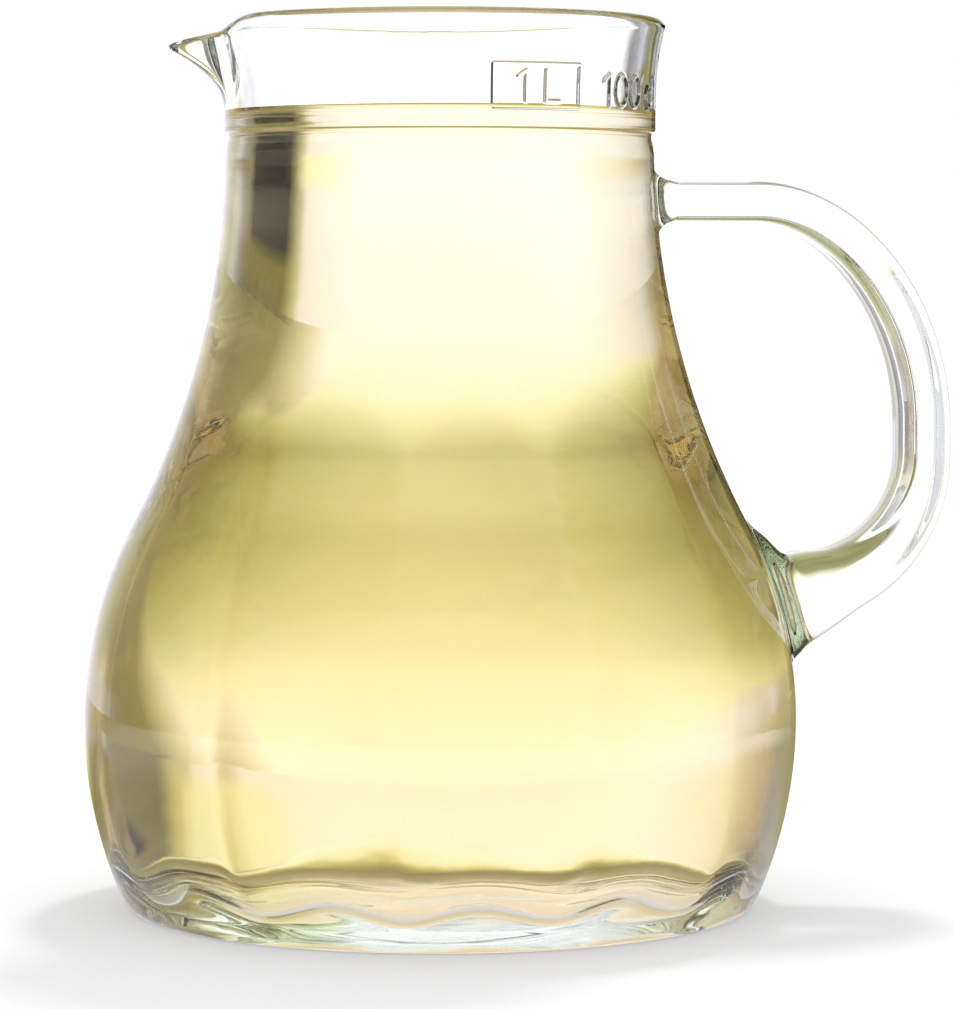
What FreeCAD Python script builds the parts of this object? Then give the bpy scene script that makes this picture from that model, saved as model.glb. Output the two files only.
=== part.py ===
import FreeCAD, Part
import math
import os

# Clear pressed-glass carafe, made in one piece: a pear-shaped body, a straight
# collar with a pinched pouring lip, and a solid strap handle opposite the lip.
# All sizes are in millimetres. The origin is on the body's axis at the plane
# that the foot stands on, +Z is up, the handle is at +X and the lip at -X.

# The rim's height, and the heights that hang on it from the top down: the ledge
# under the collar, the neck's narrowest place and the filling height
rim_height = 159.7
collar_height = 20.4
ledge_height = rim_height - collar_height
neck_height = ledge_height - 1.3
fill_height = ledge_height + 3.2

# Outside of the body: three tangent arcs. The two upper ones share the height
# between belly and neck, and the belly arc takes the named share of it
belly_radius = 64.25
belly_height = 34.2
lower_arc_radius = 79.5
neck_radius = 38.55
belly_arc_share = 0.338
undercut_depth = 0.5
undercut_height = 2.6
handle_sector = 27.0

# Foot: a bevelled ring that the carafe stands on, with the glass pushed up inside it
foot_radius = 55.5
foot_bevel_height = 1.6
foot_ring_width = 2.4
foot_recess = 1.0
push_up_height = 3.5
push_up_radius = 18.3

# Collar above the ledge, and its fire-polished rim
ledge_overhang = 0.25
rim_flare = 2.2
rim_thickness = 3.15

# Inside of the body
body_wall = 3.5
floor_thickness = 5.2
inside_heel_radius = 13.2
floor_crown_height = 2.2
floor_crown_radius = 24.4

# Optic flats pressed into the inside, which die out towards the neck
flat_count = 12
flat_depth = 1.6
flat_fade_share = 0.46

# Pouring lip, swelling out of the collar from its root up to the rim
lip_root_height = ledge_height + 4.4
lip_reach = 9.2
lip_dip = 4.9
lip_half_angle = 6.6
lip_channel_half_angle = 4.2
lip_shoulder_angle = 18.0

# Handle: a straight arm from the neck, a bow, a bend under the hand, and a lower
# arm that thickens into the belly, with a web of glass in its upper corner
arm_height = ledge_height - 12.0
arm_end = neck_radius + 18.3
handle_reach = belly_radius + 24.75
bow_height = 86.9
bow_fullness = 1.92
grip_height = 81.3
lower_bend_radius = 24.4
lower_bend_turn = 62.0
strap_width = 18.3
arm_thickness = 7.5
grip_thickness = 8.4
lower_arm_thickness = 11.8
upper_root_flare = 2.6
root_width_flare = 5.0
strap_squareness = 4.0
root_squareness = 2.4
strap_points = 16

# Lower root, as heights on the wall and as distances out from it, and the stretch
# of the lower arm just before the web's corner
web_height = 70.0
web_corner_height = 63.7
web_corner_reach = 3.8
level_stretch = 4.9
lower_root_height = 44.6
lower_corner_height = 46.6
lower_corner_reach = 3.6
lower_stretch = 4.7
lower_stretch_rise = 3.1

origin = FreeCAD.Vector(0, 0, 0)
axis_z = FreeCAD.Vector(0, 0, 1)
across_strap = FreeCAD.Vector(0, 1, 0)
sew_tolerance = 0.001
well_above = 40.0


def mix(first, second, share):
    """The value that lies at a share of the way from first to second."""
    return first + (second - first) * share


def both_arc_radii():
    """Sum of the radii of the belly arc and the neck arc, which meet in a tangent."""
    inwards = belly_radius - neck_radius
    rise = neck_height - belly_height
    return (inwards ** 2 + rise ** 2) / (2.0 * inwards)


def belly_arc_radius():
    """Radius of the arc that curves in from the belly's widest point."""
    return belly_arc_share * both_arc_radii()


def neck_arc_radius():
    """Radius of the arc that curves out again up to the neck."""
    return (1.0 - belly_arc_share) * both_arc_radii()


def join_height():
    """Height at which the belly arc runs into the neck arc."""
    return mix(belly_height, neck_height, belly_arc_share)


def wall_point(height, inset=0.0):
    """A point of the side wall at a height, inset from the outside."""
    if height <= belly_height:
        centre = belly_radius - lower_arc_radius
        radius = centre + math.sqrt((lower_arc_radius - inset) ** 2 - (height - belly_height) ** 2)
    elif height <= join_height():
        centre = belly_radius - belly_arc_radius()
        radius = centre + math.sqrt((belly_arc_radius() - inset) ** 2 - (height - belly_height) ** 2)
    else:
        centre = neck_radius + neck_arc_radius()
        radius = centre - math.sqrt((neck_arc_radius() + inset) ** 2 - (height - neck_height) ** 2)
    return FreeCAD.Vector(radius, 0, height)


def wall_arc(low, high, inset=0.0):
    """The arc of the side wall between two heights that lie on one arc."""
    points = [wall_point(height, inset) for height in (low, mix(low, high, 0.5), high)]
    return Part.Arc(*points).toShape()


def wall_curve(low, high, inset=0.0):
    """The same arc as a light spline, which turns into a smooth round wall."""
    curve = Part.BSplineCurve()
    curve.interpolate(Points=[wall_point(height, inset) for height in (low, mix(low, high, 0.5), high)])
    return curve.toShape()


def line(*points):
    """Straight edges from point to point."""
    return [Part.LineSegment(first, second).toShape() for first, second in zip(points, points[1:])]


def body_solid():
    """The body without its cavity, turned from its outline.

    The side that the handle grows from is a sector of its own, so that the
    handle's roots cut into small faces and the rest of the wall stays whole.
    """
    ring_inside = foot_radius - foot_ring_width
    heel = wall_point(foot_bevel_height)
    undercut_start = wall_point(ledge_height - undercut_height)
    undercut_radius = neck_radius - undercut_depth
    edges = line(
        FreeCAD.Vector(0, 0, ledge_height),
        FreeCAD.Vector(0, 0, push_up_height),
        FreeCAD.Vector(push_up_radius, 0, push_up_height),
        FreeCAD.Vector(ring_inside - foot_recess, 0, foot_recess),
        FreeCAD.Vector(ring_inside, 0, 0),
        FreeCAD.Vector(foot_radius, 0, 0),
        heel)
    edges.append(wall_curve(foot_bevel_height, belly_height))
    edges.append(wall_curve(belly_height, join_height()))
    edges.append(wall_curve(join_height(), undercut_start.z))
    edges += line(
        undercut_start,
        FreeCAD.Vector(undercut_radius, 0, ledge_height - 0.3 * undercut_height),
        FreeCAD.Vector(undercut_radius, 0, ledge_height),
        FreeCAD.Vector(0, 0, ledge_height))
    outline = Part.Face(Part.Wire(edges))
    outline.rotate(origin, axis_z, handle_sector)
    lip_side = outline.revolve(origin, axis_z, 360.0 - 2.0 * handle_sector)
    outline.rotate(origin, axis_z, -2.0 * handle_sector)
    handle_side = outline.revolve(origin, axis_z, 2.0 * handle_sector)
    return lip_side.fuse(handle_side)


def inside_heel(inset):
    """The rounded corner between the cavity's floor and its wall."""
    centre_x = belly_radius - lower_arc_radius
    reach = lower_arc_radius - inset
    height = floor_thickness + inside_heel_radius
    x = centre_x + math.sqrt((reach - inside_heel_radius) ** 2 - (height - belly_height) ** 2)
    outward = FreeCAD.Vector(x - centre_x, 0, height - belly_height).normalize()
    centre = FreeCAD.Vector(x, 0, height)
    wall_end = FreeCAD.Vector(centre_x, 0, belly_height) + outward * reach
    middle = centre + (outward + FreeCAD.Vector(0, 0, -1)).normalize() * inside_heel_radius
    return FreeCAD.Vector(x, 0, floor_thickness), middle, wall_end


def round_cavity():
    """The inside of the body and neck, turned, with a low crown on the floor."""
    floor_edge, heel_middle, heel_end = inside_heel(body_wall)
    top = ledge_height + well_above
    neck_inside = wall_point(ledge_height, body_wall)
    crown_top = FreeCAD.Vector(0, 0, floor_thickness + floor_crown_height)
    crown_edge = FreeCAD.Vector(floor_crown_radius, 0, floor_thickness)
    round_above = mix(join_height(), neck_height, 1.1 * flat_fade_share)
    edges = line(crown_top, crown_edge, floor_edge)
    edges.append(Part.Arc(floor_edge, heel_middle, heel_end).toShape())
    edges.append(wall_curve(heel_end.z, belly_height, body_wall))
    edges.append(wall_curve(belly_height, join_height(), body_wall))
    edges.append(wall_curve(join_height(), round_above, body_wall))
    edges.append(wall_curve(round_above, ledge_height, body_wall))
    edges += line(neck_inside, FreeCAD.Vector(neck_inside.x, 0, top), FreeCAD.Vector(0, 0, top), crown_top)
    return Part.Face(Part.Wire(edges)).revolve(origin, axis_z, 360)


def flat_pair():
    """A slab as wide as the inside between two opposite flats."""
    inset = body_wall + flat_depth
    floor_edge, heel_middle, heel_end = inside_heel(inset)
    fade_height = mix(join_height(), neck_height, flat_fade_share)
    fade_middle = wall_point(mix(join_height(), fade_height, 0.5), body_wall + 0.6 * flat_depth)
    fade_end = wall_point(fade_height, 0.5 * body_wall)
    top = ledge_height + 2.0 * well_above
    edges = [Part.Arc(floor_edge, heel_middle, heel_end).toShape()]
    edges.append(wall_arc(heel_end.z, belly_height, inset))
    edges.append(wall_arc(belly_height, join_height(), inset))
    edges.append(Part.Arc(wall_point(join_height(), inset), fade_middle, fade_end).toShape())
    edges += line(fade_end, FreeCAD.Vector(fade_end.x, 0, top))
    mirrored = [edge.mirror(origin, FreeCAD.Vector(1, 0, 0)) for edge in edges]
    edges += line(FreeCAD.Vector(-fade_end.x, 0, top), FreeCAD.Vector(fade_end.x, 0, top))
    edges += line(FreeCAD.Vector(-floor_edge.x, 0, floor_edge.z), floor_edge)
    face = Part.Face(Part.Wire(Part.__sortEdges__(edges + mirrored)))
    reach = 2.0 * belly_radius
    face.translate(FreeCAD.Vector(0, -reach, 0))
    return face.extrude(FreeCAD.Vector(0, 2.0 * reach, 0))


def cavity_solid():
    """The inside of the body: the turned form where no flat cuts in."""
    cavity = round_cavity()
    slab = flat_pair()
    for count in range(flat_count // 2):
        turned = slab.copy()
        turned.rotate(origin, axis_z, 360.0 * count / flat_count)
        cavity = cavity.common(turned)
    return cavity


def skin(loops_of_points, parameters):
    """One smooth face through closed loops of points, with its end edges."""
    loops = []
    for points in loops_of_points:
        loop = Part.BSplineCurve()
        loop.interpolate(Points=points, PeriodicFlag=True, Parameters=parameters)
        loops.append(loop)
    runs = [0.0]
    for before, after in zip(loops_of_points, loops_of_points[1:]):
        steps = [first.distanceToPoint(second) for first, second in zip(before, after)]
        runs.append(runs[-1] + sum(steps) / len(steps))
    columns = []
    for number in range(1, loops[0].NbPoles + 1):
        column = Part.BSplineCurve()
        column.interpolate(Points=[loop.getPole(number) for loop in loops], Parameters=runs)
        columns.append(column)
    surface = Part.BSplineSurface()
    surface.buildFromPolesMultsKnots(
        [column.getPoles() for column in columns],
        loops[0].getMultiplicities(), columns[0].getMultiplicities(),
        loops[0].getKnots(), columns[0].getKnots(),
        True, False, loops[0].Degree, columns[0].Degree)
    face = surface.toShape()
    ends = [edge for edge in face.Edges if edge.Closed]
    ends.sort(key=lambda edge: edge.Vertexes[0].Point.distanceToPoint(loops_of_points[0][0]))
    return face, ends[0], ends[1]


def solid_of(faces):
    """The solid that the faces close."""
    shell = Part.makeCompound(faces)
    shell.sewShape(sew_tolerance)
    solid = Part.Solid(shell.Shells[0])
    if solid.Volume < 0:
        solid.reverse()
    return solid


def collar_radius(height):
    """Outside radius of the collar: straight, then flared out to the rim."""
    rise = (height - ledge_height) / (rim_height - ledge_height)
    return neck_radius + ledge_overhang + rim_flare * rise ** 3


def lip_offset(height, angle, inwards):
    """How far the lip moves a point of the collar outwards and down.

    The angle is in degrees from the lip's middle, and inwards goes from 0 on
    the outside of the collar to 1 on its inside.
    """
    rise = max((height - lip_root_height) / (rim_height - lip_root_height), 0.0)
    half_angle = mix(lip_half_angle, lip_channel_half_angle, inwards) * (1.4 - 0.4 * min(rise, 1.0))
    beak = math.exp(-abs(angle / half_angle) ** 2.7)
    shoulder = math.exp(-abs(angle / lip_shoulder_angle) ** 3)
    out = lip_reach * rise ** 2 * mix(beak, shoulder, 0.04)
    down = lip_dip * rise * (0.5 * math.exp(-(angle / half_angle) ** 2) + 0.5 * shoulder)
    return out, down


def collar_loop(height, radius, inwards, angles):
    """A closed loop on the outside, the rounded top or the inside of the collar."""
    points = []
    for angle in angles:
        out, down = lip_offset(height, angle - 180.0, inwards)
        turn = math.radians(angle)
        reach = radius + out
        points.append(FreeCAD.Vector(reach * math.cos(turn), reach * math.sin(turn), height - down))
    return points


def collar_solid():
    """The collar as a ring with its lip, up the outside, over the rim and down.

    It is closed by narrow bands, which stay light where the rim curves tightly.
    """
    lip_angles = (0.0, 0.4, 0.8, 1.2, 1.7, 2.4, 3.2)
    angles = {180.0 + side * share * lip_half_angle for share in lip_angles for side in (-1.0, 1.0)}
    angles |= {15.0 * count for count in range(24) if abs(15.0 * count - 180.0) > 4.0 * lip_half_angle}
    angles = sorted(angles)
    rounding = 0.5 * rim_thickness
    top = rim_height - rounding
    crown_turns = (30, 60, 90, 120, 150)
    heights = [ledge_height] + [mix(lip_root_height, top, share) for share in (0.0, 0.25, 0.5, 0.75, 1.0)]
    loops = [collar_loop(height, collar_radius(height), 0.0, angles) for height in heights]
    for turn_degrees in crown_turns:
        turn = math.radians(turn_degrees)
        radius = collar_radius(top) - rounding * (1.0 - math.cos(turn))
        loops.append(collar_loop(top + rounding * math.sin(turn), radius, turn_degrees / 180.0, angles))
    for height in reversed(heights):
        loops.append(collar_loop(height, collar_radius(height) - rim_thickness, 1.0, angles))
    parameters = [math.radians(angle) for angle in angles] + [math.radians(angles[0]) + 2.0 * math.pi]
    bands = [skin(pair, parameters) for pair in zip(loops, loops[1:])]
    outer_edge = bands[0][1]
    inner_edge = bands[-1][2]
    underside = Part.Face([Part.Wire([outer_edge]), Part.Wire([inner_edge])])
    return solid_of([band[0] for band in bands] + [underside])


def strap_loop(centre, heading, thickness, width, squareness=strap_squareness):
    """A rounded-rectangle section of the handle, square to its heading."""
    outward = across_strap.cross(FreeCAD.Vector(heading).normalize())
    power = 2.0 / squareness
    points = []
    for count in range(strap_points):
        turn = 2.0 * math.pi * count / strap_points
        across = math.copysign(abs(math.cos(turn)) ** power, math.cos(turn))
        along = math.copysign(abs(math.sin(turn)) ** power, math.sin(turn))
        points.append(centre + outward * (0.5 * thickness * along) + across_strap * (0.5 * width * across))
    return points


def arm_loops():
    """Sections of the level upper arm, flared where it leaves the neck."""
    neck_at_arm = wall_point(arm_height).x
    inside_wall = -0.8 * body_wall
    steps = [(inside_wall, 1.0), (0.1 * upper_root_flare, 0.5)]
    steps += [(0.5 * upper_root_flare, 0.15), (1.2 * upper_root_flare, 0.0)]
    loops = []
    for from_wall, flare in steps:
        centre = FreeCAD.Vector(neck_at_arm + from_wall, 0, arm_height)
        thickness = arm_thickness + 1.4 * upper_root_flare * flare
        width = strap_width + root_width_flare * flare
        squareness = mix(strap_squareness, root_squareness, flare)
        loops.append(strap_loop(centre, FreeCAD.Vector(1, 0, 0), thickness, width, squareness))
    return loops


def bow_point(share):
    """A point of the bow's centre line, a quarter of a slightly slack ellipse."""
    turn = 0.5 * math.pi * min(max(share, 0.0), 1.0)
    run = (handle_reach - arm_end) * max(math.sin(turn), 0.0) ** (2.0 / bow_fullness)
    rise = (arm_height - bow_height) * max(math.cos(turn), 0.0) ** (2.0 / bow_fullness)
    return FreeCAD.Vector(arm_end + run, 0, bow_height + rise)


def bow_loops():
    """Sections of the bow, then of the lower bend."""
    step = 0.02
    loops = []
    for share in (0.0, 0.25, 0.5, 0.75, 1.0):
        heading = bow_point(share + step) - bow_point(share - step)
        thickness = mix(arm_thickness, grip_thickness, share)
        loops.append(strap_loop(bow_point(share), heading, thickness, strap_width))
    for share in (0.0, 0.5, 1.0):
        centre, heading = lower_bend(share)
        thickness = mix(grip_thickness, lower_arm_thickness, share ** 1.5)
        loops.append(strap_loop(centre, heading, thickness, strap_width))
    return loops


def lower_bend(share):
    """Centre and heading of the strap at a share of the lower bend."""
    turn = math.radians(share * lower_bend_turn)
    bend_centre = FreeCAD.Vector(handle_reach - lower_bend_radius, 0, grip_height)
    centre = bend_centre + FreeCAD.Vector(math.cos(turn), 0, -math.sin(turn)) * lower_bend_radius
    return centre, FreeCAD.Vector(-math.sin(turn), 0, -math.cos(turn))


def root_loops():
    """Sections of the lower arm as it spreads onto the body under its web."""
    corner = wall_point(web_corner_height) + FreeCAD.Vector(web_corner_reach, 0, 0)
    lower_corner = wall_point(lower_corner_height) + FreeCAD.Vector(lower_corner_reach, 0, 0)
    before_corner = corner + FreeCAD.Vector(level_stretch, 0, 0)
    before_lower = lower_corner + FreeCAD.Vector(lower_stretch, 0, lower_stretch_rise)
    web_top = wall_point(web_height)
    lower_end = wall_point(lower_root_height)
    inwards = across_strap.cross(web_top - lower_end).normalize() * (-0.6 * body_wall)
    ends = [
        (before_corner, before_lower, 0.1),
        (corner, lower_corner, 0.3),
        ((corner + web_top) * 0.5, (lower_corner + lower_end) * 0.5, 0.55),
        (web_top, lower_end, 0.8),
        (web_top + inwards, lower_end + inwards, 1.0)]
    loops = []
    for upper, lower, growth in ends:
        heading = across_strap.cross(upper - lower)
        width = strap_width + root_width_flare * growth
        squareness = mix(strap_squareness, root_squareness, growth)
        thickness = upper.distanceToPoint(lower)
        loops.append(strap_loop((upper + lower) * 0.5, heading * -1.0, thickness, width, squareness))
    return loops


def handle_solid():
    """The strap handle as one smooth solid, its ends inside the glass wall."""
    loops = arm_loops() + bow_loops() + root_loops()
    parameters = [2.0 * math.pi * count / strap_points for count in range(strap_points + 1)]
    face, first_edge, last_edge = skin(loops, parameters)
    return solid_of([face, Part.Face(Part.Wire([first_edge])), Part.Face(Part.Wire([last_edge]))])


def carafe():
    """The whole carafe as one solid of glass."""
    body = body_solid().cut(cavity_solid())
    return body.fuse([collar_solid(), handle_solid()]).Solids[0]


def contents():
    """What the carafe holds up to the fill height, in millilitres."""
    collar_inside = neck_radius + ledge_overhang - rim_thickness
    in_collar = math.pi * collar_inside ** 2 * (fill_height - ledge_height)
    below = Part.makeBox(400, 400, ledge_height, FreeCAD.Vector(-200, -200, 0))
    return (cavity_solid().common(below).Volume + in_collar) / 1000.0


os.makedirs("parts", exist_ok=True)
glass = carafe()
glass.exportStep("parts/carafe.step")
print("one valid solid:", glass.isValid(), "glass in ml:", round(glass.Volume / 1000.0, 1))
print("holds in ml, to the fill height:", round(contents(), 1))
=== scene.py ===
import math

import bmesh
import bpy
import numpy as np
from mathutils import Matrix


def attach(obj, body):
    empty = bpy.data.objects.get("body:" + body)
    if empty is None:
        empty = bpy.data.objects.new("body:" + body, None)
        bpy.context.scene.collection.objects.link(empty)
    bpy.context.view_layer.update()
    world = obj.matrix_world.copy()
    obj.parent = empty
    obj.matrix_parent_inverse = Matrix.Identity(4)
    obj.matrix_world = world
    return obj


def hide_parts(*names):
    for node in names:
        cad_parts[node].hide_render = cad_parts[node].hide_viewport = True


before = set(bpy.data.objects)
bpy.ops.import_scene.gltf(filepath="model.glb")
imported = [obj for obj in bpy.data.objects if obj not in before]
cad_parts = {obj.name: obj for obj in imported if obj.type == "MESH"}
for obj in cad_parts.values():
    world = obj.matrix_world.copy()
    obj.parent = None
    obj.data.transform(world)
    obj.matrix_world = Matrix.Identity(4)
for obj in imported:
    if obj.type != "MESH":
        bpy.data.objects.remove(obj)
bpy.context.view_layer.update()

# Body wall, foot and inside.
# One gather of soda-lime glass, pressed in a mould: a plunger with twelve flats
# shapes the thick inside, and the foot is pushed up so that it stands on a ring.

MM = 0.001
belly_radius = 64.25
belly_height = 34.2
lower_arc = 79.5
neck_radius = 38.55
neck_height = 138.0
belly_share = 0.338
neck_inwards = belly_radius - neck_radius
neck_rise = neck_height - belly_height
both_arcs = (neck_inwards ** 2 + neck_rise ** 2) / (2.0 * neck_inwards)
belly_arc = belly_share * both_arcs
neck_arc = (1.0 - belly_share) * both_arcs
join_height = belly_height + belly_share * neck_rise
ledge_height = 139.3
wall = 3.5
floor_height = 5.2
push_up = 2.2
push_up_radius = 24.4
recess_height = 3.5
recess_slope = 0.074
heel_radius = 13.2
heel_height = floor_height + heel_radius
flat_count = 12
flat_depth = 1.6
flat_fade_height = 100.9
flat_fade_slope = 0.79
flat_fade_curve = 4.14
flat_softness = 0.22
heel_wave_height = 2.0


def wall_radius(height, inset=0.0):
    """Radius of the side wall at a height, inset from the outside."""
    height = np.asarray(height, float)
    above_belly = (height - belly_height) ** 2
    low = belly_radius - lower_arc + np.sqrt(np.maximum((lower_arc - inset) ** 2 - above_belly, 0.0))
    middle = belly_radius - belly_arc + np.sqrt(np.maximum((belly_arc - inset) ** 2 - above_belly, 0.0))
    below_neck = (height - neck_height) ** 2
    high = neck_radius + neck_arc - np.sqrt(np.maximum((neck_arc + inset) ** 2 - below_neck, 0.0))
    return np.where(height < belly_height, low, np.where(height < join_height, middle, high))


def inside_distance(height, inset):
    """Distance of the inside from the axis, with its rounded heel."""
    centre = belly_radius - lower_arc
    reach = lower_arc - np.asarray(inset, float)
    heel_x = centre + np.sqrt((reach - heel_radius) ** 2 - (heel_height - belly_height) ** 2)
    heel_end = belly_height + (heel_height - belly_height) * reach / (reach - heel_radius)
    below = np.clip(heel_height - height, 0.0, heel_radius)
    heel = heel_x + np.sqrt(heel_radius ** 2 - below ** 2)
    in_heel = heel_x + np.sqrt(np.maximum(heel_radius ** 2 - (height - heel_height) ** 2, 0.0))
    above = np.where(height < heel_end, in_heel, wall_radius(height, inset))
    return np.where(height < heel_height, heel, above)


def flat_inset(height):
    """How deep a flat lies under the outside, dying out towards the neck."""
    rise = np.clip((height - join_height) / (flat_fade_height - join_height), 0.0, 1.6)
    return wall + flat_depth + flat_fade_slope * rise - flat_fade_curve * rise ** 2


def inside_radius(height, angle):
    """Radius of the inside, where the flats cut into the round, with soft arrises."""
    pitch = 2.0 * math.pi / flat_count
    off_middle = (angle + 0.5 * pitch) % pitch - 0.5 * pitch
    round_wall = inside_distance(height, wall)
    flat_wall = inside_distance(height, flat_inset(height)) / np.cos(off_middle)
    return -flat_softness * np.logaddexp(-round_wall / flat_softness, -flat_wall / flat_softness)


# Collar and pouring lip.
# Above the ledge the same glass stands as a straight collar with a fire-polished
# round rim, and while it was still soft the rim was pinched out into the lip.

rim_height = 159.7
rim_thickness = 3.15
rim_flare = 2.2
ledge_overhang = 0.25
lip_root_height = 143.7
lip_reach = 9.2
lip_dip = 4.9
lip_half_angle = 6.6
channel_half_angle = 4.2
lip_shoulder_angle = 18.0
rim_rounding = 0.5 * rim_thickness
rim_start = rim_height - rim_rounding
collar_ease_start = 130.8
collar_ease_length = 12.0


def collar_radius(height):
    """Outside radius of the collar: straight, then flared out to the rim."""
    share = (height - ledge_height) / (rim_height - ledge_height)
    return neck_radius + ledge_overhang + rim_flare * share ** 3


def lip_offset(height, angle, inwards):
    """How far the lip moves the collar out and down, at an angle from the handle."""
    off_lip = 180.0 - np.degrees(np.abs(angle))
    rise = np.clip((height - lip_root_height) / (rim_height - lip_root_height), 0.0, None)
    half = lip_half_angle + (channel_half_angle - lip_half_angle) * inwards
    half = half * (1.4 - 0.4 * np.minimum(rise, 1.0))
    beak = np.exp(-np.abs(off_lip / half) ** 2.7)
    shoulder = np.exp(-np.abs(off_lip / lip_shoulder_angle) ** 3)
    out = lip_reach * rise ** 2 * (0.96 * beak + 0.04 * shoulder)
    down = lip_dip * rise * (0.5 * np.exp(-(off_lip / half) ** 2) + 0.5 * shoulder)
    return out, down


def column_angles():
    """Angles round the carafe from lip to lip, closer together at the lip."""
    lip_side = np.linspace(168.0, 180.0, 21)
    rest = np.linspace(-168.0, 168.0, 225)
    return np.radians(np.concatenate([-lip_side[:0:-1], rest, lip_side[1:-1]]))


def outline_rows():
    """Radius, height, part and inwards share of each row, from the foot's middle
    up the outside, over the rim and down the inside to the floor's middle."""
    rows = [(r, recess_height, "plain", 0) for r in (6.0, 12.0, 16.5)]
    rows += [(r, recess_height - (r - 18.3) * recess_slope, "plain", 0) for r in np.linspace(18.8, 51.0, 9)]
    rows += [(51.6, 1.04, "plain", 0), (52.3, 0.72, "plain", 0), (52.9, 0.18, "plain", 0)]
    rows += [(53.4, 0.0, "plain", 0), (54.9, 0.0, "plain", 0), (55.6, 0.14, "plain", 0)]
    rows += [(56.2, 0.62, "plain", 0), (56.85, 1.2, "plain", 0)]
    spans = [(1.8, 44.2, 25), (44.2, 70.2, 16), (70.2, 121.4, 32), (121.4, 132.9, 8), (132.9, 136.7, 3)]
    for low, high, steps in spans:
        heights = np.linspace(low, high, steps, endpoint=False)
        rows += [(float(wall_radius(z)), z, "plain", 0) for z in heights]
    rows += [(38.35, 137.2, "plain", 0), (38.1, 138.0, "plain", 0), (38.05, 138.8, "plain", 0)]
    rows += [(38.2, 139.18, "plain", 0), (38.5, 139.3, "plain", 0), (38.75, 139.46, "plain", 0)]
    rows += [(float(collar_radius(z)), z, "collar", 0) for z in np.linspace(139.8, 141.2, 2)]
    rows += [(float(collar_radius(z)), z, "collar", 0) for z in np.linspace(141.8, 151.8, 9)]
    rows += [(float(collar_radius(z)), z, "collar", 0) for z in np.linspace(152.8, rim_start, 6)]
    for turn in np.radians(np.linspace(18.0, 162.0, 9)):
        radius = collar_radius(rim_start) - rim_rounding * (1.0 - math.cos(turn))
        rows.append((float(radius), rim_start + rim_rounding * math.sin(turn), "collar", turn / math.pi))
    for z in np.linspace(rim_start, 143.8, 12):
        rows.append((float(collar_radius(z)) - rim_thickness, z, "collar", 1))
    rows += [(None, z, "inside", 1) for z in np.linspace(142.4, heel_height, 78)]
    for turn in np.radians(np.linspace(8.0, 84.0, 10)):
        rows.append((None, heel_height - heel_radius * math.sin(turn), "inside", 1))
    floor_shares = (1.0, 0.93, 0.85, 0.75, 0.65, 0.55, 0.45, 0.35, 0.24, 0.12)
    rows += [(share, floor_height, "floor", 1) for share in floor_shares]
    return rows


def inside_point(height, angle):
    """Radius of the cavity at a height, eased into the collar above the neck."""
    ease = np.clip((height - collar_ease_start) / collar_ease_length, 0.0, 1.0) ** 2
    collar_inside = collar_radius(np.maximum(height, ledge_height)) - rim_thickness
    return inside_radius(height, angle) * (1.0 - ease) + collar_inside * ease


def heel_wave(angles):
    """How much higher the inside's heel lies under a flat than under an arris."""
    return heel_wave_height * (0.5 + 0.5 * np.cos(flat_count * angles))


def row_points(row, angles):
    """Points of one row at all the angles, in mm."""
    radius, height, part, inwards = row
    heights = np.full(angles.shape, float(height))
    if part == "plain":
        radii = np.full(angles.shape, float(radius))
    elif part == "collar":
        out, down = lip_offset(height, angles, inwards)
        radii = radius + out
        heights = heights - down
    elif part == "inside":
        radii = inside_point(height, angles)
        heights = heights + heel_wave(angles) * np.clip((heel_height - height) / heel_radius, 0.0, 1.0)
    else:
        edge = inside_radius(np.full(angles.shape, floor_height + 0.02), angles)
        radii = edge * radius
        heights = heights + push_up * np.clip(1.0 - radii / push_up_radius, 0.0, 1.0) ** 1.3
        heights = heights + heel_wave(angles) * np.clip((radius - 0.55) / 0.45, 0.0, 1.0) ** 2
    return np.stack([radii * np.cos(angles), radii * np.sin(angles), heights], axis=1)


angles = column_angles()
rows = outline_rows()
grid = np.array([row_points(row, angles) for row in rows])
row_total, column_total = grid.shape[:2]


def vertex(row, column):
    """Number of the vertex at a row and column of the turned wall."""
    return row * column_total + column % column_total


def row_near(height):
    """The outside row that lies nearest to a height."""
    outside = [number for number, row in enumerate(rows) if row[3] == 0 and row[0] > 30.0]
    return min(outside, key=lambda number: (abs(rows[number][1] - height), number))


column_zero = int(np.argmin(np.abs(angles)))
upper_block = (row_near(121.4), row_near(132.9), column_zero - 12, column_zero + 12)
lower_block = (row_near(44.2), row_near(70.2), column_zero - 8, column_zero + 8)
marks_block = (row_near(141.8), row_near(151.8), column_zero - 59, column_zero - 4)

# Raised capacity marks.
# Plain capacity figures stand on the collar, cut into the mould with a round
# cutter, so they come out as low ridges with soft edges.

mark_height = 0.42
mark_half_width = 0.42
fine_steps = 6


def arc_points(centre_x, centre_y, radius_x, radius_y, start, end, steps=14):
    """Points along part of an ellipse."""
    turns = np.radians(np.linspace(start, end, steps))
    return [(centre_x + radius_x * math.cos(t), centre_y + radius_y * math.sin(t)) for t in turns]


figures = {
    "1": (3.4, [[(0.2, 4.2), (1.7, 5.3), (1.7, 0.0)]]),
    "0": (4.6, [arc_points(1.9, 2.65, 1.75, 2.65, 0, 360, 22)]),
    "L": (3.6, [[(0.2, 5.3), (0.2, 0.0), (2.9, 0.0)]]),
    "c": (3.9, [arc_points(1.7, 1.85, 1.6, 1.85, 50, 310, 16)]),
    "l": (1.6, [[(0.3, 5.3), (0.3, 0.0)]]),
    " ": (1.9, []),
}


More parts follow.
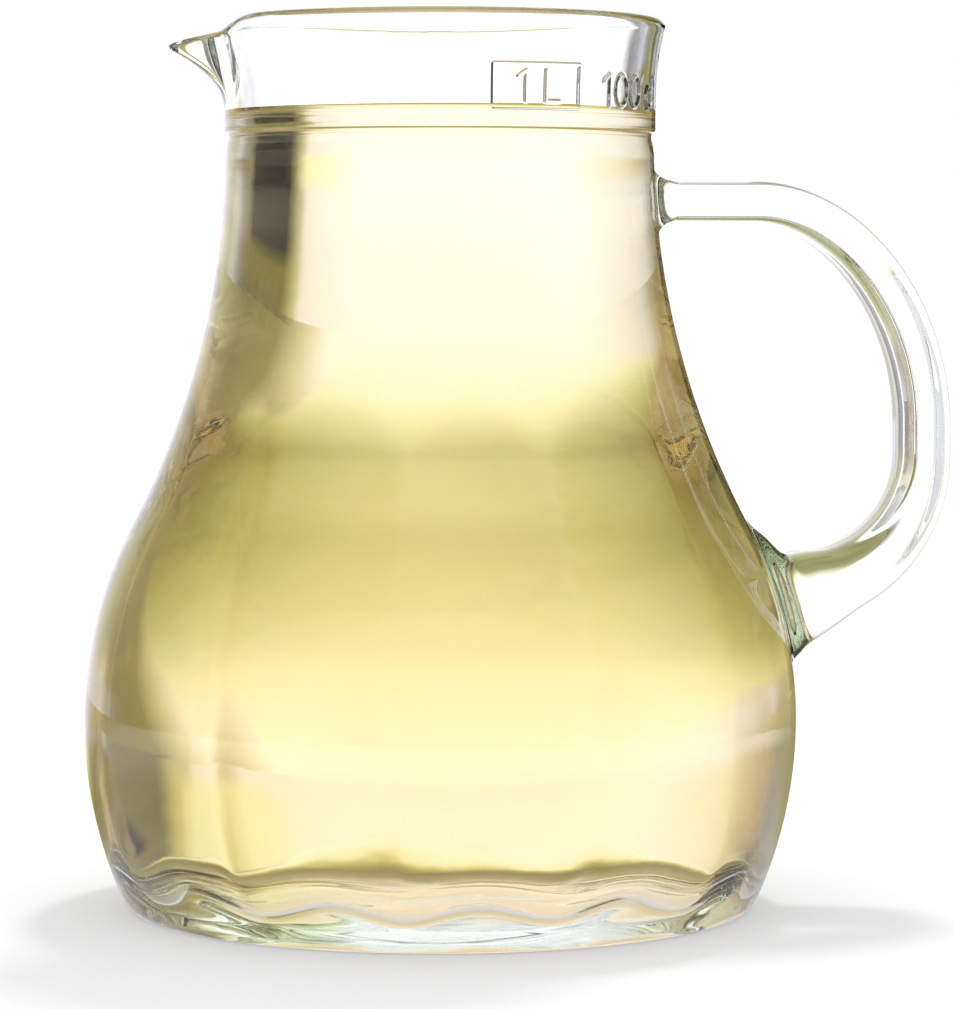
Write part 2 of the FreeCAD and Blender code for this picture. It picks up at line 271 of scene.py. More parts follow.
def strokes_of(text, start, base):
    """Line pieces of a run of figures, along the collar and up from its base."""
    pieces = []
    for letter in text:
        advance, lines = figures[letter]
        for points in lines:
            shifted = [(start + x, base + y) for x, y in points]
            pieces += list(zip(shifted, shifted[1:]))
        start += advance
    return pieces


collar_run = collar_radius(146.0)
frame_left, frame_right = np.radians([-84.5, -60.0]) * collar_run
frame_low, frame_high = 142.7, 150.1
litre_start, litre_base = 0.5 * (frame_left + frame_right) - 4.1, 143.75
centilitre_start, centilitre_base = math.radians(-51.5) * collar_run, 143.4
corners = [
    (frame_left, frame_low), (frame_right, frame_low), (frame_right, frame_high), (frame_left, frame_high)]
strokes = list(zip(corners, corners[1:] + corners[:1]))
strokes += strokes_of("1 L", litre_start, litre_base)
strokes += strokes_of("100 cl", centilitre_start, centilitre_base)


def mark_relief(along, height):
    """How far the marks stand out at places along the collar."""
    nearest = np.full(along.shape, 99.0)
    for (x0, y0), (x1, y1) in strokes:
        run_x, run_y = x1 - x0, y1 - y0
        projected = (along - x0) * run_x + (height - y0) * run_y
        share = np.clip(projected / (run_x ** 2 + run_y ** 2), 0.0, 1.0)
        nearest = np.minimum(nearest, np.hypot(along - x0 - share * run_x, height - y0 - share * run_y))
    rise = np.clip(1.0 - (nearest / mark_half_width) ** 2, 0.0, 1.0)
    return mark_height * rise ** 1.2


# Strap handle.
# Pressed in one with the body: a level arm leaves the neck, a wide bow brings it
# round, and a thicker arm runs back up into the belly. The mould seam is left on it.

arm_height = 127.3
arm_end = 56.85
handle_reach = 89.0
bow_height = 86.9
bow_fullness = 1.92
grip_height = 81.3
bend_radius = 24.4
bend_turn = 62.0
strap_half_width = 9.15
arm_half = 3.72
grip_half = 4.2
root_half = 5.9
seam_height = 0.16
upper_hug, upper_steps = 1.1, 9
lower_hug, lower_steps = 0.9, 6
web_top, web_bottom = 63.7, 46.6
web_half_width, web_end_half_width = 9.9, 9.4
web_corner = (float(wall_radius(web_top)) + 3.8, web_top)
lower_corner = (float(wall_radius(web_bottom)) + 3.6, web_bottom)
web_end_corner = (web_corner[0] + 4.9, web_corner[1])
lower_end_corner = (lower_corner[0] + 4.7, lower_corner[1] + 3.1)


def block_loop(block):
    """Vertex numbers round a block of the wall, from the middle of its +Y side up."""
    low, high, left, right = block
    side_up = [(row, right) for row in range(low, high)]
    top = [(high, column) for column in range(right, left, -1)]
    side_down = [(row, left) for row in range(high, low, -1)]
    bottom = [(low, column) for column in range(left, right)]
    loop = side_up + top + side_down + bottom
    start = (high - low) // 2
    return loop[start:] + loop[:start]


def block_turns(block):
    """Direction of each loop vertex as seen on the block, in radians."""
    low, high, left, right = block
    turns = []
    for row, column in block_loop(block):
        across = (column - 0.5 * (left + right)) / (0.5 * (right - left))
        up = (row - 0.5 * (low + high)) / (0.5 * (high - low))
        turns.append(math.atan2(up, across))
    return np.unwrap(np.array(turns))


def strap_stations():
    """Centre, heading, half thickness and half width of the strap, all along it."""
    stations = []
    for x in np.linspace(42.6, arm_end, 8):
        stations.append((x, arm_height, 1.0, 0.0, arm_half, strap_half_width))
    run, rise = handle_reach - arm_end, arm_height - bow_height
    turns = np.linspace(0.0, 0.5 * math.pi, 34)
    bow_x = arm_end + run * np.sin(turns) ** (2.0 / bow_fullness)
    bow_z = bow_height + rise * np.maximum(np.cos(turns), 0.0) ** (2.0 / bow_fullness)
    slopes = np.stack([np.gradient(bow_x), np.gradient(bow_z)], axis=1)
    slopes[-1] = (0.0, -1.0)
    slopes /= np.linalg.norm(slopes, axis=1)[:, None]
    for x, z, slope, share in list(zip(bow_x, bow_z, slopes, turns / turns[-1]))[1:]:
        stations.append((x, z, *slope, arm_half + (grip_half - arm_half) * share, strap_half_width))
    for z in np.linspace(bow_height, grip_height, 5)[1:-1]:
        stations.append((handle_reach, z, 0.0, -1.0, grip_half, strap_half_width))
    for turn in np.radians(np.linspace(0.0, bend_turn, 17)):
        half = grip_half + (root_half - grip_half) * (turn / math.radians(bend_turn)) ** 1.5
        centre = handle_reach - bend_radius * (1.0 - math.cos(turn))
        depth = grip_height - bend_radius * math.sin(turn)
        stations.append((centre, depth, -math.sin(turn), -math.cos(turn), half, strap_half_width))
    return stations


def web_station(inner, outer, half_width):
    """An oblique section of the lower arm between a point of its inner and outer face."""
    inner, outer = np.array(inner), np.array(outer)
    half = 0.5 * np.linalg.norm(outer - inner)
    across = (outer - inner) / (2.0 * half)
    return (*(0.5 * (inner + outer)), across[1], -across[0], half, half_width)


def strap_ring(station, turns, number):
    """One section of the strap, with the seam down the middle of both faces."""
    x, z, heading_x, heading_z, half_thickness, half_width = station
    across, out = np.cos(turns), np.sin(turns)
    norm = (across ** 4 + out ** 4) ** 0.25
    across, out = across / norm, out / norm
    wobble = 0.75 + 0.25 * math.sin(2.1 * number) * math.sin(0.83 * number + 1.0)
    seam = seam_height * wobble * np.exp(-(across * half_width / 0.45) ** 2) * np.sign(out)
    offset = half_thickness * out + seam
    return np.stack([x - heading_z * offset, across * half_width, z + heading_x * offset], axis=1)


def fillet_rings(keys, heading, hug, steps):
    """Rings that lead off the wall's surface through the key rings into the strap."""
    wall_loop = keys[0]
    reach = np.hypot(wall_loop[:, 0], wall_loop[:, 1])
    slope = (wall_radius(wall_loop[:, 2] + 0.05) - wall_radius(wall_loop[:, 2] - 0.05)) / 0.1
    outward = np.stack([wall_loop[:, 0] / reach, wall_loop[:, 1] / reach, -slope], axis=1)
    outward /= np.linalg.norm(outward, axis=1)[:, None]
    chords = [after - before for before, after in zip(keys, keys[1:])]
    lengths = [np.linalg.norm(chord, axis=1)[:, None] for chord in chords]
    spans = [float(length.mean()) for length in lengths]
    along_wall = chords[0] - outward * (chords[0] * outward).sum(axis=1)[:, None]
    along_wall /= np.linalg.norm(along_wall, axis=1)[:, None]
    pulls = [hug * along_wall * lengths[0] / spans[0]]
    for n in range(1, len(chords)):
        before, after = spans[n - 1], spans[n]
        pulls.append((chords[n - 1] * after / before + chords[n] * before / after) / (before + after))
    pulls.append(np.array([heading[0], 0.0, heading[1]]) * lengths[-1] / spans[-1])
    rings = []
    for n, span in enumerate(spans):
        for share in np.linspace(0.0, 1.0, steps, endpoint=False)[(n == 0):]:
            ring = keys[n] * (2 * share ** 3 - 3 * share ** 2 + 1)
            ring = ring + keys[n + 1] * (3 * share ** 2 - 2 * share ** 3)
            ring = ring + pulls[n] * span * (share ** 3 - 2 * share ** 2 + share)
            rings.append(ring + pulls[n + 1] * span * (share ** 3 - share ** 2))
    return rings


def carafe_mesh():
    """Points and faces of the whole closed skin of glass, in mm."""
    points = [grid.reshape(-1, 3)]
    total = row_total * column_total
    faces = []
    split_edges = {}

    def add(new_points):
        nonlocal total
        points.append(np.asarray(new_points))
        first = total
        total += len(new_points)
        return first

    def inside_block(row, column, block):
        low, high, left, right = block
        return low <= row < high and left <= column < right

    # The marks' part of the collar gets finer steps, which share its border.
    low, high, left, right = marks_block
    numbers = {}
    fine_rows = (high - low) * fine_steps + 1
    fine_columns = (right - left) * fine_steps + 1
    row_heights = [row[1] for row in rows[low:high + 1]]
    heights = np.interp(np.arange(fine_rows) / fine_steps, range(high - low + 1), row_heights)
    turns = np.interp(np.arange(fine_columns) / fine_steps, range(right - left + 1), angles[left:right + 1])
    turn_grid, height_grid = np.meshgrid(turns, heights)
    reach = collar_radius(height_grid) + mark_relief(turn_grid * collar_run, height_grid)
    fine = np.stack([reach * np.cos(turn_grid), reach * np.sin(turn_grid), height_grid], axis=2)
    new = []
    for m in range(fine_rows):
        for n in range(fine_columns):
            on_border = m in (0, fine_rows - 1) or n in (0, fine_columns - 1)
            if on_border and m % fine_steps == 0 and n % fine_steps == 0:
                numbers[m, n] = vertex(low + m // fine_steps, left + n // fine_steps)
            else:
                numbers[m, n] = total + len(new)
                new.append(fine[m, n])
    add(new)
    for m in range(fine_rows - 1):
        for n in range(fine_columns - 1):
            faces.append((numbers[m, n], numbers[m, n + 1], numbers[m + 1, n + 1], numbers[m + 1, n]))
    for n in range(0, fine_columns - 1, fine_steps):
        for m in (0, fine_rows - 1):
            chain = [numbers[m, n + k] for k in range(fine_steps + 1)]
            split_edges[chain[0], chain[-1]] = chain[1:-1]
            split_edges[chain[-1], chain[0]] = chain[-2:0:-1]
    for m in range(0, fine_rows - 1, fine_steps):
        for n in (0, fine_columns - 1):
            chain = [numbers[m + k, n] for k in range(fine_steps + 1)]
            split_edges[chain[0], chain[-1]] = chain[1:-1]
            split_edges[chain[-1], chain[0]] = chain[-2:0:-1]

    for row in range(row_total - 1):
        for column in range(column_total):
            if any(inside_block(row, column, block) for block in (upper_block, lower_block, marks_block)):
                continue
            corners = [
                vertex(row, column), vertex(row, column + 1),
                vertex(row + 1, column + 1), vertex(row + 1, column)]
            face = []
            for first, second in zip(corners, corners[1:] + corners[:1]):
                face.append(first)
                face += split_edges.get((first, second), [])
            faces.append(tuple(face))
    foot_middle = add([(0.0, 0.0, recess_height)])
    floor_middle = add([(0.0, 0.0, floor_height + push_up)])
    for column in range(column_total):
        faces.append((foot_middle, vertex(0, column + 1), vertex(0, column)))
        faces.append((floor_middle, vertex(row_total - 1, column), vertex(row_total - 1, column + 1)))

    # The handle's rings, bridged from the upper block round to the lower one.
    stations = strap_stations()
    upper_loop = [vertex(*place) for place in block_loop(upper_block)]
    lower_loop = [vertex(*place) for place in block_loop(lower_block)]
    upper_turns = block_turns(upper_block)
    lower_turns = -block_turns(lower_block)
    flat_grid = grid.reshape(-1, 3)
    lower_order = [(-n) % len(lower_loop) for n in range(len(lower_loop))]
    lower_loop = [lower_loop[n] for n in lower_order]
    lower_turns = np.unwrap(np.array([lower_turns[n] for n in lower_order]))
    lower_turns += upper_turns[0] - lower_turns[0]
    rings = []
    for number, station in enumerate(stations):
        share = number / (len(stations) - 1)
        turns = upper_turns * (1.0 - share) + lower_turns * share
        rings.append(strap_ring(station, turns, number))
    upper_keys = [flat_grid[upper_loop], rings[0]]
    upper_fillet = fillet_rings(upper_keys, stations[0][2:4], upper_hug, upper_steps)
    web_start = web_station(web_corner, lower_corner, web_half_width)
    web_end = web_station(web_end_corner, lower_end_corner, web_end_half_width)
    start_ring = strap_ring(web_start, lower_turns, 0)
    end_ring = strap_ring(web_end, lower_turns, 0)
    wall_loop = flat_grid[lower_loop]
    web_ring = 0.5 * (wall_loop + start_ring)
    back = -np.array(stations[-1][2:4])
    lower_keys = [wall_loop, web_ring, start_ring, end_ring, rings[-1]]
    lower_fillet = fillet_rings(lower_keys, back, lower_hug, lower_steps)
    loops = [upper_loop]
    for ring in upper_fillet + rings + lower_fillet[::-1]:
        first = add(ring)
        loops.append(list(range(first, first + len(ring))))
    loops.append(lower_loop)
    size = len(upper_loop)
    for before, after in zip(loops, loops[1:]):
        for k in range(size):
            faces.append((before[k], before[(k + 1) % size], after[(k + 1) % size], after[k]))
    return np.concatenate(points), faces


def new_piece(name, points, faces, material):
    """A closed mesh piece in metres, smooth, with its normals outwards."""
    mesh = bpy.data.meshes.new(name)
    mesh.from_pydata((points * MM).tolist(), [], faces)
    work = bmesh.new()
    work.from_mesh(mesh)
    bmesh.ops.recalc_face_normals(work, faces=work.faces[:])
    work.to_mesh(mesh)
    work.free()
    mesh.shade_smooth()
    mesh.materials.append(material)
    piece = bpy.data.objects.new(name, mesh)
    bpy.context.scene.collection.objects.link(piece)
    return piece


def colour(hex_value):
    """An sRGB hex colour as linear values with full alpha."""
    parts = [int(hex_value[n:n + 2], 16) / 255.0 for n in (1, 3, 5)]
    return tuple(p / 12.92 if p <= 0.04045 else ((p + 0.055) / 1.055) ** 2.4 for p in parts) + (1.0,)


def new_material(name):
    """An empty node material and its node tree."""
    material = bpy.data.materials.new(name)
    material.use_nodes = True
    material.node_tree.nodes.clear()
    return material, material.node_tree


def add_node(tree, kind, settings=(), inputs=(), links=()):
    """Adds one node with its settings, socket values and links."""
    node = tree.nodes.new(kind)
    for key, value in dict(settings).items():
        setattr(node, key, value)
    for key, value in dict(inputs).items():
        node.inputs[key].default_value = value
    for key, socket in dict(links).items():
        tree.links.new(socket, node.inputs[key])
    return node


# Pressed soda-lime glass, fire polished: clear and hard-edged, with the slow swell
# that the mould leaves (28 mm from crest to crest), a finer chilled skin (6 mm), and
# a breath of green where the glass is thick.
swell_spacing = 28 * MM
skin_spacing = 6 * MM
glass_ior = 1.5
pressed_glass, tree = new_material("pressed_soda_lime_glass")
place = add_node(tree, "ShaderNodeTexCoord")
swell = add_node(
    tree, "ShaderNodeTexNoise", inputs={"Scale": 1.0 / swell_spacing, "Detail": 1.5, "Roughness": 0.4},
    links={"Vector": place.outputs["Object"]})
skin = add_node(
    tree, "ShaderNodeTexNoise", inputs={"Scale": 1.0 / skin_spacing, "Detail": 2.0, "Roughness": 0.5},
    links={"Vector": place.outputs["Object"]})
swell_bump = add_node(
    tree, "ShaderNodeBump", inputs={"Strength": 0.25, "Distance": 0.0006},
    links={"Height": swell.outputs["Fac"]})
skin_bump = add_node(
    tree, "ShaderNodeBump", inputs={"Strength": 0.12, "Distance": 0.0001},
    links={"Height": skin.outputs["Fac"], "Normal": swell_bump.outputs["Normal"]})
glass_shader = add_node(
    tree, "ShaderNodeBsdfPrincipled",
    inputs={"Base Color": colour("#ffffff"), "Metallic": 0.0, "Roughness": 0.0, "IOR": glass_ior,
            "Transmission Weight": 1.0},
    links={"Normal": skin_bump.outputs["Normal"]})
glass_depth = add_node(
    tree, "ShaderNodeVolumeAbsorption", inputs={"Color": colour("#e7efdf"), "Density": 9.0})
add_node(
    tree, "ShaderNodeOutputMaterial",
    links={"Surface": glass_shader.outputs["BSDF"], "Volume": glass_depth.outputs["Volume"]})

carafe_points, carafe_faces = carafe_mesh()
carafe = new_piece("carafe_glass", carafe_points, carafe_faces, pressed_glass)
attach(carafe, "root")
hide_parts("carafe")

# Drink.
# A pale clear drink fills the carafe to just above the ledge and wets the glass,
# so its edge climbs the wall a little all round.

fill_height = 142.5
wetting = 0.04
meniscus_rise = 0.9
meniscus_width = 1.1


def drink_mesh():
    """Points and faces of the drink, set a hair into the glass that holds it."""
    heel_turns = np.radians(np.linspace(8.0, 84.0, 10))
    above_heel = np.linspace(fill_height + meniscus_rise, heel_height, 79)
    levels = np.concatenate([above_heel, heel_height - heel_radius * np.sin(heel_turns)])
    wall_part = np.array([row_points((None, z, "inside", 1), angles) for z in levels])
    radii = np.hypot(wall_part[:, :, 0], wall_part[:, :, 1])
    slope_r = np.gradient(radii, axis=0)
    slope_z = np.gradient(wall_part[:, :, 2], axis=0)
    norm = np.hypot(slope_r, slope_z)
    out_r, out_z = -slope_z / norm, slope_r / norm
    radii = radii + wetting * out_r
    wall_part[:, :, 2] += wetting * out_z
    wall_part[:, :, 0] = radii * np.cos(angles)
    wall_part[:, :, 1] = radii * np.sin(angles)
    floor_rows = [row_points(row, angles) for row in rows if row[2] == "floor"]
    floor_part = np.array(floor_rows) - np.array([0.0, 0.0, wetting])
    top = []
    for share in (0.1, 0.25, 0.45, 0.7, 0.9, 0.97):
        off_wall = radii[0] * (1.0 - share)
        climb = meniscus_rise * np.exp(-off_wall / meniscus_width)
        spread = radii[0] * share
        ring = [spread * np.cos(angles), spread * np.sin(angles), fill_height + climb]
        top.append(np.stack(ring, axis=1))
    skin_points = np.concatenate([np.array(top), wall_part, floor_part])
    points = skin_points.reshape(-1, 3)
    count = len(skin_points)
    faces = []
    for row in range(count - 1):
        for column in range(column_total):
            faces.append((
                vertex(row, column), vertex(row, column + 1),
                vertex(row + 1, column + 1), vertex(row + 1, column)))
    middles = [(0.0, 0.0, fill_height), (0.0, 0.0, floor_height + push_up - wetting)]
    points = np.concatenate([points, middles])
    top_middle, floor_middle = len(points) - 2, len(points) - 1
    for column in range(column_total):
        faces.append((top_middle, vertex(0, column + 1), vertex(0, column)))
        faces.append((floor_middle, vertex(count - 1, column), vertex(count - 1, column + 1)))
    return points, faces


# Pale drink, still and clear: as smooth as water, so all that it gives the eye is its
# bend of the light and the yellow that builds up in its depth.
drink_ior = 1.34
pale_drink, tree = new_material("pale_clear_drink")
drink_shader = add_node(
    tree, "ShaderNodeBsdfPrincipled",
    inputs={"Base Color": colour("#ffffff"), "Metallic": 0.0, "Roughness": 0.0, "IOR": drink_ior,
            "Transmission Weight": 1.0})
drink_depth = add_node(
    tree, "ShaderNodeVolumeAbsorption", inputs={"Color": colour("#f4d74b"), "Density": 8.0})
add_node(
    tree, "ShaderNodeOutputMaterial",
    links={"Surface": drink_shader.outputs["BSDF"], "Volume": drink_depth.outputs["Volume"]})

drink_points, drink_faces = drink_mesh()
drink = new_piece("drink", drink_points, drink_faces, pale_drink)
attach(drink, "root")

# Table and studio.
# A white table in front of a bright back panel, with a black card at its far right.
# Near the carafe the table's tones in the glass are painted shade, as if the carafe shaded it, and the
# glass bends that painted shade into view.

view_turn = math.radians(82.0)
panel_light = 1.45
panel_blue = 1.05
table_edge = 0.5
table_radius = 6.0


def ramp(tree, value, low, high, stops):
    """Tones over a range of values, as hex or grey shares of the panel's light."""
    span = add_node(
        tree, "ShaderNodeMapRange", inputs={"From Min": low, "From Max": high}, links={"Value": value})
    steps = add_node(tree, "ShaderNodeValToRGB", links={"Fac": span.outputs["Result"]})
    elements = steps.color_ramp.elements
    while len(elements) > 1:
        elements.remove(elements[-1])
    for number, (place, shade) in enumerate(stops):
        position = (place - low) / (high - low)
        element = elements[0] if number == 0 else elements.new(position)
        element.position = position
        red, green, blue = colour(shade)[:3] if isinstance(shade, str) else (shade, shade, shade)
        element.color = (red, green, panel_blue * blue, 1.0)
    return steps.outputs["Color"]


def bearing(tree, vector):
    """Turns a place or direction to face the panel; gives its parts and bearing in degrees."""
    turned = add_node(
        tree, "ShaderNodeVectorRotate", settings={"rotation_type": "Z_AXIS"},
        inputs={"Angle": -view_turn}, links={"Vector": vector})
    parts = add_node(tree, "ShaderNodeSeparateXYZ", links={"Vector": turned.outputs["Vector"]})
    sideways = add_node(
        tree, "ShaderNodeMath", settings={"operation": "ARCTAN2"},
        links={0: parts.outputs["Y"], 1: parts.outputs["X"]})
    degrees = add_node(
        tree, "ShaderNodeMath", settings={"operation": "DEGREES"}, links={0: sideways.outputs["Value"]})
    return parts, degrees.outputs["Value"]


bpy.ops.mesh.primitive_circle_add(vertices=96, radius=table_radius, fill_type="NGON")
table = bpy.context.object
table.name = "table"

# White lacquered board, sprayed matt: an even pale ground with a soft shadow, and in the glass painted
# shade in place of the board's white, from the olive shade by the foot out to the panel's white.
table_white, tree = new_material("matt_white_lacquer_and_painted_shade")
light_path = add_node(tree, "ShaderNodeLightPath")
place = add_node(tree, "ShaderNodeTexCoord")
distance = add_node(
    tree, "ShaderNodeVectorMath", settings={"operation": "LENGTH"}, links={0: place.outputs["Object"]})
side = bearing(tree, place.outputs["Object"])[1]
# Painted shade of the carafe on the table: olive and darkest near the foot, fading out to white with
# distance.
painted_olive_shade_near = ramp(tree, distance.outputs["Value"], 0.0, 0.45, [
    (0.0, "#b1b4aa"), (0.06, "#aaac95"), (0.1, "#8e8e65"), (0.135, "#848150"), (0.15, "#908e55"),
    (0.17, "#9e9f61"), (0.19, "#b3b679"), (0.205, "#c0c58b"), (0.217, "#cdd19d"), (0.232, "#d7ddad"),
    (0.25, "#e5eac2"), (0.27, "#eff4d6"), (0.3, "#f4f9e7"), (0.345, "#fafcf2"), (0.4, "#fffffa"),
    (0.45, "#fffffd")])
# Where the painted olive shade lies, behind the body; elsewhere the painted grey shade.
behind_body = ramp(tree, side, -180.0, 180.0, [
    (-180, 0.0), (-50, 0.0), (-42, 1.0), (60, 1.0), (75, 0.0), (180, 0.0)])
# Painted shade by bearing: the table darker towards the sides, olive in places.
painted_shade_by_bearing = ramp(tree, side, -180.0, 180.0, [
    (-180, 0.8), (-110, 0.8), (-80, 0.5), (-52, "#999561"), (-44, "#90905d"), (-36, "#8e8b59"),
    (-28, "#7c794b"), (-22, "#848150"), (-18, "#8b8959"), (-14, "#ceceaa"), (-10, 1.0), (12, 1.0),
    (16, 0.95), (24, 0.86), (32, 0.7), (40, "#ada686"), (48, "#867c59"), (62, 0.4), (90, 0.6),
    (110, 0.8), (180, 0.8)])
# Painted grey shade near the foot, off the side behind the body.
painted_grey_shade_near = ramp(tree, distance.outputs["Value"], 0.0, 0.45, [
    (0.0, 0.5), (0.06, 0.5), (0.1, 0.36), (0.15, 0.34), (0.2, 0.5), (0.3, 0.85), (0.45, 1.0)])
near_mix = add_node(
    tree, "ShaderNodeMix", settings={"data_type": "RGBA"},
    links={0: behind_body, 6: painted_grey_shade_near, 7: painted_olive_shade_near})
# The darker of the painted shades, which glows for rays through the glass.
painted_table_shade = add_node(
    tree, "ShaderNodeMix", settings={"data_type": "RGBA", "blend_type": "DARKEN"}, inputs={0: 1.0},
    links={6: near_mix.outputs[2], 7: painted_shade_by_bearing})
bent_view = add_node(
    tree, "ShaderNodeEmission", inputs={"Strength": panel_light}, links={"Color": painted_table_shade.outputs[2]})
beyond = add_node(tree, "ShaderNodeBsdfTransparent")
is_far = add_node(
    tree, "ShaderNodeMath", settings={"operation": "GREATER_THAN"}, inputs={1: table_edge},
    links={0: distance.outputs["Value"]})
in_glass = add_node(
    tree, "ShaderNodeMixShader",
    links={"Fac": is_far.outputs["Value"], 1: bent_view.outputs["Emission"], 2: beyond.outputs["BSDF"]})
matt = add_node(tree, "ShaderNodeBsdfDiffuse", inputs={"Color": colour("#f3f3f3")})
glow = add_node(tree, "ShaderNodeEmission", inputs={"Color": colour("#ffffff"), "Strength": 1.0})
glow_share = add_node(
    tree, "ShaderNodeMapRange", inputs={"From Min": 0.2, "From Max": 0.6, "To Min": 0.4, "To Max": 1.0},
    links={"Value": distance.outputs["Value"]})
lit = add_node(
    tree, "ShaderNodeMixShader",
    links={"Fac": glow_share.outputs["Result"], 1: matt.outputs["BSDF"], 2: glow.outputs["Emission"]})
shown = add_node(
    tree, "ShaderNodeMixShader",
    links={"Fac": light_path.outputs["Is Camera Ray"],
           1: in_glass.outputs["Shader"], 2: lit.outputs["Shader"]})
add_node(tree, "ShaderNodeOutputMaterial", links={"Surface": shown.outputs["Shader"]})
table.data.materials.append(table_white)

# Black card across the view, seen only in the glass.
card_forward = 0.45
card_left, card_right = -0.128, -0.33
card_height = 0.2
ahead = np.array([math.cos(view_turn), math.sin(view_turn), 0.0])
leftwards = np.array([-math.sin(view_turn), math.cos(view_turn), 0.0])
card_corners = [(card_left, 0.0), (card_right, 0.0), (card_right, card_height), (card_left, card_height)]
card_points = []
for across, up in card_corners:
    card_points.append(ahead * card_forward + leftwards * across + np.array([0.0, 0.0, up]))
card_mesh = bpy.data.meshes.new("black_card")
card_mesh.from_pydata([tuple(point) for point in card_points], [], [(0, 1, 2, 3)])
card = bpy.data.objects.new("black_card", card_mesh)
bpy.context.scene.collection.objects.link(card)
card.visible_camera = False
card.visible_diffuse = False
card.visible_shadow = False

# Black painted board, rolled on matt: the glass turns it round, so it gives the neck's left side its dark
# band, with soft ends, and at its foot olive painted light, standing in for the table lighting it.
black_board, tree = new_material("black_board_with_painted_foot_light")
place = add_node(tree, "ShaderNodeTexCoord")
parts = bearing(tree, place.outputs["Object"])[0]
cover = ramp(tree, parts.outputs["Y"], -0.34, -0.12, [
    (-0.34, 0.0), (-0.29, 0.0), (-0.262, 1.0), (-0.158, 1.0), (-0.15, 0.75), (-0.136, 0.2),
    (-0.128, 0.0), (-0.12, 0.0)])
# Black above, and at the foot olive painted light from the table.
board_black_and_painted_foot_light = ramp(tree, parts.outputs["Z"], 0.0, 0.2, [
    (0.0, "#6f6c45"), (0.045, "#6f6c38"), (0.062, 0.005), (0.2, 0.005)])
board_glow = add_node(
    tree, "ShaderNodeEmission", inputs={"Strength": panel_light}, links={"Color": board_black_and_painted_foot_light})
clear = add_node(tree, "ShaderNodeBsdfTransparent")
board = add_node(
    tree, "ShaderNodeMixShader",
    links={"Fac": cover, 1: clear.outputs["BSDF"], 2: board_glow.outputs["Emission"]})
add_node(tree, "ShaderNodeOutputMaterial", links={"Surface": board.outputs["Shader"]})
card.data.materials.append(black_board)

# The room: plain white to the eye and the table, and in the glass the back panel and
# the darker room round it, in one band at the table's level and one above it. The
# glass finds it by itself, so it isn't sampled as a lamp too, which only costs time.
world = bpy.data.worlds.new("studio")
bpy.context.scene.world = world
world.use_nodes = True
world.cycles.sampling_method = "NONE"
tree = world.node_tree
tree.nodes.clear()
direction = add_node(tree, "ShaderNodeTexCoord")
parts, side = bearing(tree, direction.outputs["Generated"])
upwards = add_node(
    tree, "ShaderNodeMath", settings={"operation": "ARCSINE"}, links={0: parts.outputs["Z"]})
rise = add_node(
    tree, "ShaderNodeMath", settings={"operation": "DEGREES"}, links={0: upwards.outputs["Value"]})
low_band = ramp(tree, side, -180.0, 180.0, [
    (-180, 0.6), (-110, 0.6), (-80, 0.3), (-64, 0.5), (-56, 0.3), (-50, 0.28), (-46, 0.46),
    (-43, 0.45), (-40, 0.24), (-36, "#736f4b"), (-30, "#8e8b5d"), (-25, "#adac73"), (-20, "#bfbf89"),
    (-18, 0.84), (-10, 0.95), (-4, 0.97), (20, 0.96), (26, 0.9), (32, 0.84), (38, 0.78), (44, 0.72),
    (50, 0.45), (56, 0.2), (64, 0.1), (110, 0.15), (140, 0.55), (180, 0.6)])
high_band = ramp(tree, side, -180.0, 180.0, [
    (-180, 0.6), (-110, 0.6), (-80, "#7c7659"), (-58, "#6f663f"), (-40, "#6f663f"), (-34, "#8e8955"),
    (-28, "#9e995d"), (-25, "#a4a265"), (-21, "#c4c27c"), (-19, "#eaf1c4"), (-16, "#edf6d4"),
    (-10, 0.97), (-4, 1.0), (14, 1.0), (20, 0.93), (26, "#f1f1e1"), (32, "#e6e6c7"), (38, "#d4d1ad"),
    (44, "#bcad89"), (50, 0.2), (60, 0.1), (110, 0.15), (140, 0.55), (180, 0.6)])
fade_up = ramp(tree, rise.outputs["Value"], -90.0, 90.0, [
    (-90, 1.0), (10, 1.0), (15, 0.88), (22, 0.78), (35, 0.62), (90, 0.5)])
band = add_node(
    tree, "ShaderNodeMapRange", inputs={"From Min": -2.3, "From Max": -1.0},
    links={"Value": rise.outputs["Value"]})
panel = add_node(
    tree, "ShaderNodeMix", settings={"data_type": "RGBA"},
    links={0: band.outputs["Result"], 6: low_band, 7: high_band})
studio = add_node(
    tree, "ShaderNodeMix", settings={"data_type": "RGBA", "blend_type": "MULTIPLY"}, inputs={0: 1.0},
    links={6: panel.outputs[2], 7: fade_up})
light_path = add_node(tree, "ShaderNodeLightPath")
plain = add_node(
    tree, "ShaderNodeMath", settings={"operation": "MAXIMUM"},
    links={0: light_path.outputs["Is Camera Ray"], 1: light_path.outputs["Is Diffuse Ray"]})
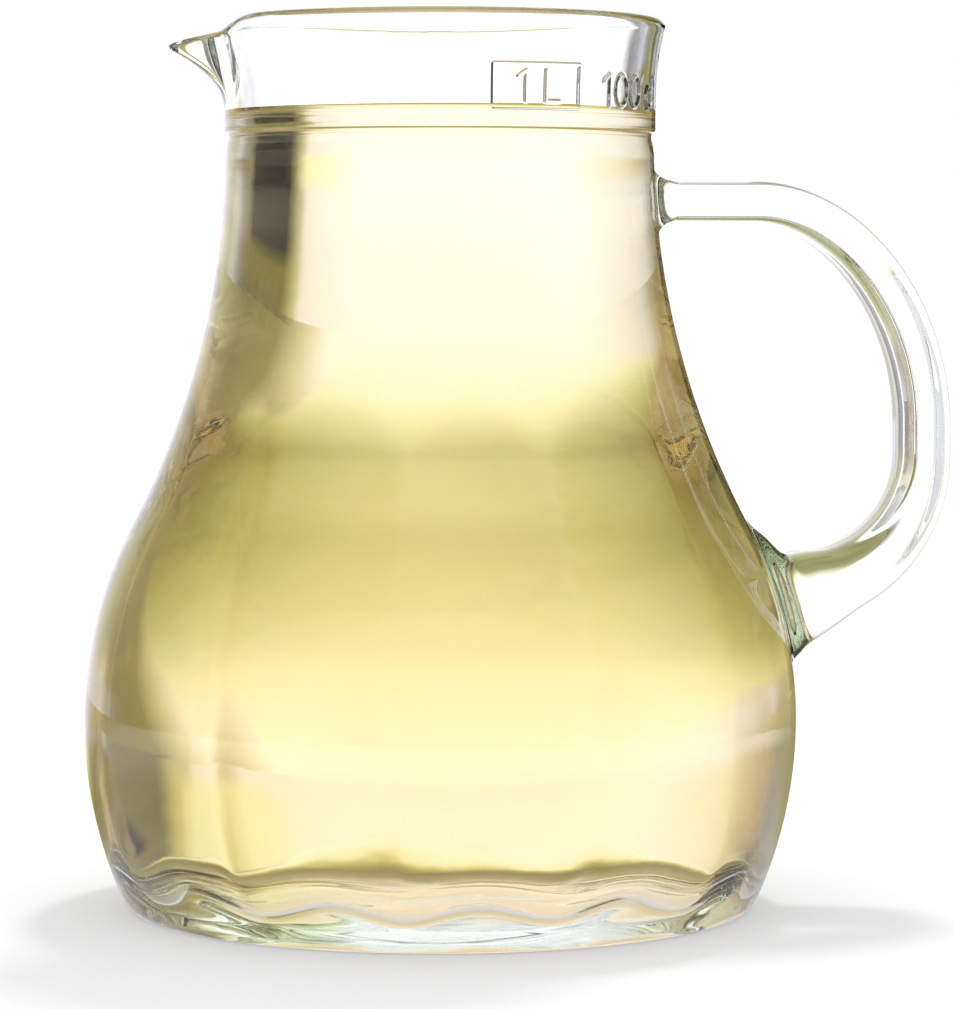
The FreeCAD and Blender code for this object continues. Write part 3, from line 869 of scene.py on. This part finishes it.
strength = add_node(
    tree, "ShaderNodeMapRange", inputs={"To Min": panel_light, "To Max": 1.0},
    links={"Value": plain.outputs["Value"]})
seen = add_node(
    tree, "ShaderNodeMix", settings={"data_type": "RGBA"}, inputs={7: colour("#ffffff")},
    links={0: plain.outputs["Value"], 6: studio.outputs[2]})
sky = add_node(
    tree, "ShaderNodeBackground", links={"Color": seen.outputs[2], "Strength": strength.outputs["Result"]})
add_node(tree, "ShaderNodeOutputWorld", links={"Surface": sky.outputs["Background"]})

# A small soft box overhead, which only gives the table the carafe's shadow.
lamp_data = bpy.data.lights.new("overhead_box", "AREA")
lamp_data.shape = "DISK"
lamp_data.size = 0.14
lamp_data.energy = 5.0
lamp = bpy.data.objects.new("overhead_box", lamp_data)
lamp.location = (0.22, 0.42, 1.1)
lamp.rotation_euler = (math.radians(-20.0), math.radians(11.0), 0.0)
lamp.visible_glossy = False
lamp.visible_transmission = False
bpy.context.scene.collection.objects.link(lamp)

# Camera.
# A long lens at the photograph's place, 75 cm off, a little to the lip's side and
# below the rim's height, tilted down; fitted to the rim's and the foot's ellipses.

sensor_width = 36.0
picture_pixels = 954.0
focal_pixels = 4138.0
camera_distance = 0.7459
camera_height = 0.11585
camera_side = math.radians(8.0)
tilt_down = 3.32
turn_right = 8.512
camera_data = bpy.data.cameras.new("camera")
camera_data.sensor_fit = "HORIZONTAL"
camera_data.sensor_width = sensor_width
camera_data.lens = sensor_width * focal_pixels / picture_pixels
camera = bpy.data.objects.new("camera", camera_data)
camera.location = (
    -camera_distance * math.sin(camera_side), -camera_distance * math.cos(camera_side), camera_height)
camera.rotation_euler = (math.radians(90.0 - tilt_down), 0.0, math.radians(-turn_right))
bpy.context.scene.collection.objects.link(camera)
bpy.context.scene.camera = camera
bpy.context.scene.view_settings.view_transform = "Standard"

# Light runs a long way inside clear glass before it comes out.
light_steps = 32
bpy.context.scene.cycles.max_bounces = light_steps
bpy.context.scene.cycles.transmission_bounces = light_steps
bpy.context.scene.cycles.glossy_bounces = light_steps
